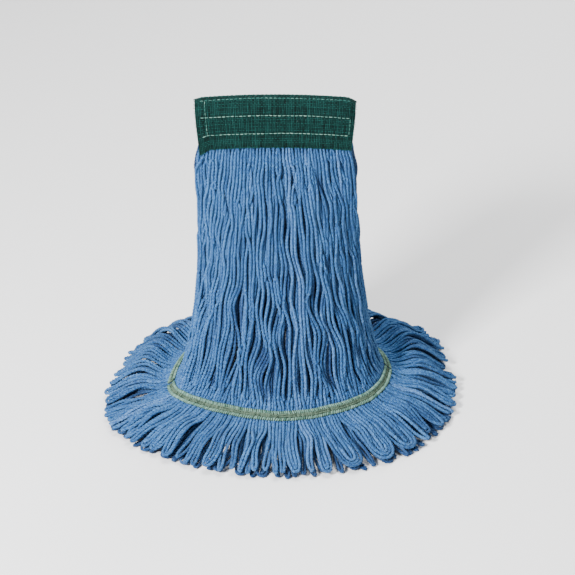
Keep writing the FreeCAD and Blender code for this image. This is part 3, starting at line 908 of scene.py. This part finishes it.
def rib_parts(rng, across, down):
    """Threads that run over the fold, from mouth to mouth."""
    parts = []
    for k, place in enumerate(across):
        steps = np.linspace(-SIDE_END, SIDE_END, 2 * len(down) + 1) * rng.uniform(0.990, 1.0)
        drift = place + RIB_DRIFT * wander(rng, steps - steps[0], 0.012)
        lift = THREAD_LIFT + RIB_WAVE * np.cos(pi * (steps - down[0]) / (down[1] - down[0]) + pi * k)
        wide = RIB_WIDE * rng.uniform(0.85, 1.1)
        parts.append(laid_thread(rng, over_fold, drift, steps, lift, wide, RIB_TALL, tones=(0.25, 0.75)))
    return parts


def weft_parts(rng, across, down):
    """Threads that run along the headband, over and under the ribs."""
    parts = []
    for k, place in enumerate(down):
        reach = ACROSS_END + rng.uniform(-0.0006, 0.0012)
        steps = np.linspace(-reach, reach, 2 * len(across) + 1)
        drift = place + WEFT_DRIFT * wander(rng, steps - steps[0], 0.02)
        phase = pi * (steps - across[0]) / (across[1] - across[0]) + pi * k
        lift = THREAD_LIFT - WEFT_WAVE * np.cos(phase)
        parts.append(laid_thread(rng, over_fold, steps, drift, lift, WEFT_WIDE, WEFT_TALL, 5))
    return parts


def add_headband(rng):
    ribs = round(2 * ACROSS_END / RIB_PITCH)
    wefts = round(2 * SIDE_END / WEFT_PITCH)
    across = (np.arange(ribs) + 0.5) / ribs * 2 * ACROSS_END - ACROSS_END
    down = (np.arange(wefts) + 0.5) / wefts * 2 * SIDE_END - SIDE_END
    us = np.linspace(CLOTH_INSET - ACROSS_END, ACROSS_END - CLOTH_INSET, CLOTH_STEPS)
    vs = np.linspace(CLOTH_INSET - SIDE_END, SIDE_END - CLOTH_INSET, CLOTH_STEPS)
    mesh = cloth_layer(over_fold, us, vs, CLOTH_OUTER, CLOTH_INNER)
    # a near-black sheet under the threads: painted shade in the mesh's holes
    cloth = add_mesh("headband_cloth", [mesh], MESH_HOLE_SHADE_CLOTH)
    rib_piece = add_mesh("headband_ribs", rib_parts(rng, across, down), GREEN_RIB)
    weft_piece = add_mesh("headband_wefts", weft_parts(rng, across, down), GREEN_WEFT)
    lining_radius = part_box("headband_lining")[1][1]
    lining_end = QUARTER + LINING_DROP
    inset = lining_radius - FOLD_RADIUS
    us = np.linspace(LINING_INSET - ACROSS_END, ACROSS_END - LINING_INSET, CLOTH_STEPS)
    vs = np.linspace(-lining_end, lining_end, 90)
    mesh = cloth_layer(over_fold, us, vs, inset + LINING_OUTER, inset + LINING_INNER)
    lining = add_mesh("headband_inner_cloth", [mesh], LINING_CLOTH)
    threads = [rib_piece, weft_piece]
    for piece in (cloth, *threads, lining):
        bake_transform(piece)
    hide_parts("headband_mesh")
    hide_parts("headband_lining")


def add_yarn_over_fold(rng):
    """The runs' middles, from the front half over the fold to the back half."""
    routes = []
    start = np.full(1, RUN_START)
    top = guide.point(np.zeros(1), start)[0]
    for column in range(RUNS // BODY_LAYERS):
        for layer in range(BODY_LAYERS):
            place = guide.point(np.full(1, top_turn(column, layer)), start)[0]
            aside, above = place[0] - FOLD_MIDDLE, place[2] - AXIS_HEIGHT
            ring = top[1] - PRESSED_RADIUS - HEADBAND_PITCH * layer
            straight = CROWN_RADIUS - FOLD_RADIUS - math.hypot(aside, above)
            end = QUARTER + max(straight, 0.0) - 0.0004
            down = np.linspace(-end, end, 25)
            across = math.atan2(aside, above) * CROWN_RADIUS
            across = across + 0.0004 * wander(rng, down - down[0], 0.015)
            routes.append(over_fold(across, down, ring - FOLD_RADIUS))
    radii = [np.full(len(route), PRESSED_RADIUS) for route in routes]
    tones = np.clip(rng.normal(0.5, 0.22, len(routes)), 0, 1)
    # painted shade at half strength on all the yarn over the fold
    painted_shade = [np.full(len(route), 0.5) for route in routes]
    piece = add_mesh("yarn_over_fold", ropes(rng, routes, radii, tones, painted_shade), YARN)
    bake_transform(piece)
    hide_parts("yarn_fold")


add_yarn_over_fold(np.random.default_rng(31))
add_headband(np.random.default_rng(32))

# --- Stitching on the headband ---

STITCH_PITCH = 0.0043
STITCH_SIZE, STITCH_PROUD = 0.00062, 0.00024
STITCH_SINK = 0.0009  # how much lower a stitch's ends lie than its middle
STITCH_GAP = 0.16  # share of a stitch's pitch
ROW_END = 0.0754  # from the headband's middle to a row's last stitch
UPPER_ROW, MIDDLE_ROW = (FOLD_RADIUS * math.radians(turn) for turn in (15.0, 79.0))
LOWER_ROW = QUARTER + 0.0160
ROWS = (  # name, distance from the fold's top line, and tones
    ("upper", UPPER_ROW, (0.0, 0.3)),
    ("middle", MIDDLE_ROW, (0.1, 0.9)),
    ("lower", LOWER_ROW, (0.1, 0.9)),
)
END_SEAMS = (("left", -0.0700, UPPER_ROW), ("right", 0.0758, MIDDLE_ROW))  # name, place, first row


def stitch(rng, surface, start, end, size=STITCH_SIZE, proud=STITCH_PROUD, tones=(0.1, 0.9)):
    """One stitch between two places on a surface, with both ends going in."""
    share = np.linspace(0.0, 1.0, 9)
    u, v = (start[k] + (end[k] - start[k]) * share for k in (0, 1))
    lift = proud - STITCH_SINK * np.abs(2 * share - 1) ** 3
    wide = size * (1 - 0.25 * np.abs(2 * share - 1) ** 2) * rng.uniform(0.85, 1.12)
    return laid_thread(rng, surface, u, v, lift, wide, wide * 0.95, tones=tones)


def add_seam(rng, half, name, node, places, tones):
    """Stitches from each place to the next, with small gaps between, in place of a CAD node."""
    parts = []
    for start, end in zip(places[:-1], places[1:], strict=True):
        near, far = (start + (end - start) * share for share in (STITCH_GAP / 2, 1 - STITCH_GAP / 2))
        parts.append(stitch(rng, over_fold, near, far, tones=tones))
    piece = add_mesh(f"{half}_{name}", parts, PALE_THREAD)
    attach(piece, f"{half}_half")
    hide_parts(f"{half}_{node}")


def add_stitching(half, side, rng):
    across = np.linspace(-ROW_END, ROW_END, round(2 * ROW_END / STITCH_PITCH) + 1)
    for name, row, tones in ROWS:
        drift = 0.0004 * wander(rng, across - across[0], 0.03)
        drift = drift + rng.uniform(-0.00022, 0.00022, len(across))
        places = np.stack([across, side * (row + drift)], axis=-1)
        add_seam(rng, half, f"{name}_row", f"{name}_stitching", places, tones)
    for name, place, first in END_SEAMS:
        count = round((LOWER_ROW - first) / STITCH_PITCH)
        down = np.linspace(first + 0.0008, LOWER_ROW - 0.0006, count + 1)
        places = np.stack([place + rng.uniform(-0.0003, 0.0003, count + 1), side * down], axis=-1)
        add_seam(rng, half, f"{name}_end_seam", f"{name}_seam", places, (0.0, 0.4))


add_stitching("front", FRONT, np.random.default_rng(41))
add_stitching("back", BACK, np.random.default_rng(42))

# --- Tail bands: a tape round each half, stitched through to a tape behind the yarn ---

TAPE_END = 0.985  # turn at which a tape stops
TAPE_STEPS = (240, 12)
TAPE_THICKNESS = 0.0006
TAPE_PROUD, BACKING_PROUD = 0.0003, -0.0082  # how far a tape's inner face stands out of the outer face
CREASE, CREASE_WIDTH = 0.0008, 0.0055
LANES, LANE_INSET, LANE_WIDE, LANE_TALL = 6, 0.0022, 0.0012, 0.0005
PICK_PITCH, PICK_INSET, PICK_WIDE, PICK_TALL = 0.0019, 0.0012, 0.0014, 0.0006
WEAVE_LIFT, WEAVE_WAVE = 0.0007, 0.00016
EDGE_PITCH, EDGE_SIZE, EDGE_PROUD = 0.0018, 0.0017, 0.00115
EDGE_OVERHANG, EDGE_LENGTH = 0.0001, (0.0026, 0.0034)


def tape_surface(side, proud, creases=()):
    lean = LEAN if side == FRONT else -LEAN

    def surface(u, v, lift):
        """Points of a tape: u is the turn, v the reach, lift from the tape's inner face."""
        u, v, lift = np.broadcast_arrays(u, v, lift)
        folds = sum((np.exp(-(((u - at) / CREASE_WIDTH) ** 2)) for at in creases), np.zeros(u.shape))
        waves = 0.0005 * np.sin(11 * u + 1) + 0.0002 * np.sin(31 * u + 2)
        here, outward, _ = guide.frame(u, v + waves, lean)
        spot = here + outward * (lift + proud - CREASE * folds)[..., None]
        spot[..., 1] *= side
        return spot

    return surface


def weave_parts(rng, surface, length):
    """A tape's threads: picks across it and lanes along it, over and under each other."""
    upper, lower = guide.tape
    parts = []
    count = round(length / PICK_PITCH)
    lanes = np.linspace(upper + LANE_INSET, lower - LANE_INSET, LANES)
    reach = np.linspace(upper + PICK_INSET, lower - PICK_INSET, 13)
    for k, pick in enumerate(np.linspace(-TAPE_END, TAPE_END, count)):
        turn = np.full(13, pick) + rng.uniform(-0.0006, 0.0006)
        lift = WEAVE_LIFT + WEAVE_WAVE * np.cos(pi * (reach - lanes[0]) / (lanes[1] - lanes[0]) + pi * k)
        parts.append(laid_thread(rng, surface, turn, reach, lift, PICK_WIDE, PICK_TALL, 5))
    turn = np.linspace(-TAPE_END, TAPE_END, 2 * count - 1)
    for k, lane in enumerate(lanes):
        lift = WEAVE_LIFT - WEAVE_WAVE * np.cos(pi * (np.arange(len(turn)) / 2 + k))
        reach = np.full(len(turn), lane)
        parts.append(laid_thread(rng, surface, turn, reach, lift, LANE_WIDE, LANE_TALL, 5))
    return parts


def edge_parts(rng, surface, length, edge, inward):
    """Looped stitches along one edge of a tape. inward is 1 at its upper edge, -1 at its lower."""
    parts = []
    count = round(length / EDGE_PITCH)
    for k in range(count):
        turn = -TAPE_END + (k + 0.5) * 2 * TAPE_END / count
        start = np.array((turn, edge - inward * EDGE_OVERHANG))
        end = np.array((turn + rng.uniform(0.004, 0.012), edge + inward * rng.uniform(*EDGE_LENGTH)))
        parts.append(stitch(rng, surface, start, end, EDGE_SIZE, EDGE_PROUD, (0.2, 0.8)))
    return parts


def add_tail_band(half, side, rng, creases):
    upper, lower = guide.tape
    surface = tape_surface(side, TAPE_PROUD, creases)
    behind = tape_surface(side, BACKING_PROUD)
    turns = np.linspace(-TAPE_END, TAPE_END, TAPE_STEPS[0])
    reaches = np.linspace(upper, lower, TAPE_STEPS[1])
    length = lengths_along(surface(turns, upper, 0.0))[-1]
    mesh = cloth_layer(surface, turns, reaches, TAPE_THICKNESS, 0.0)
    tape = add_mesh(f"{half}_tail_tape", [mesh], TAPE_CLOTH)
    weave = add_mesh(f"{half}_tail_tape_weave", weave_parts(rng, surface, length), TAPE_THREAD)
    edges = []
    for name, edge, inward in (("upper", upper, 1), ("lower", lower, -1)):
        parts = edge_parts(rng, surface, length, edge, inward)
        edges.append(add_mesh(f"{half}_tail_{name}_edge", parts, EDGE_THREAD))
        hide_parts(f"{half}_tail_{name}_thread")
    mesh = cloth_layer(behind, turns, reaches, TAPE_THICKNESS, 0.0)
    backing = add_mesh(f"{half}_tail_backing_tape", [mesh], TAPE_CLOTH)
    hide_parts(f"{half}_tail_band")
    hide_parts(f"{half}_tail_band_backing")
    for piece in (tape, weave, *edges, backing):
        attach(piece, f"{half}_half")


add_tail_band("front", FRONT, np.random.default_rng(51), (-0.52, 0.0, 0.07, 0.38))
add_tail_band("back", BACK, np.random.default_rng(52), (-0.3, 0.24))
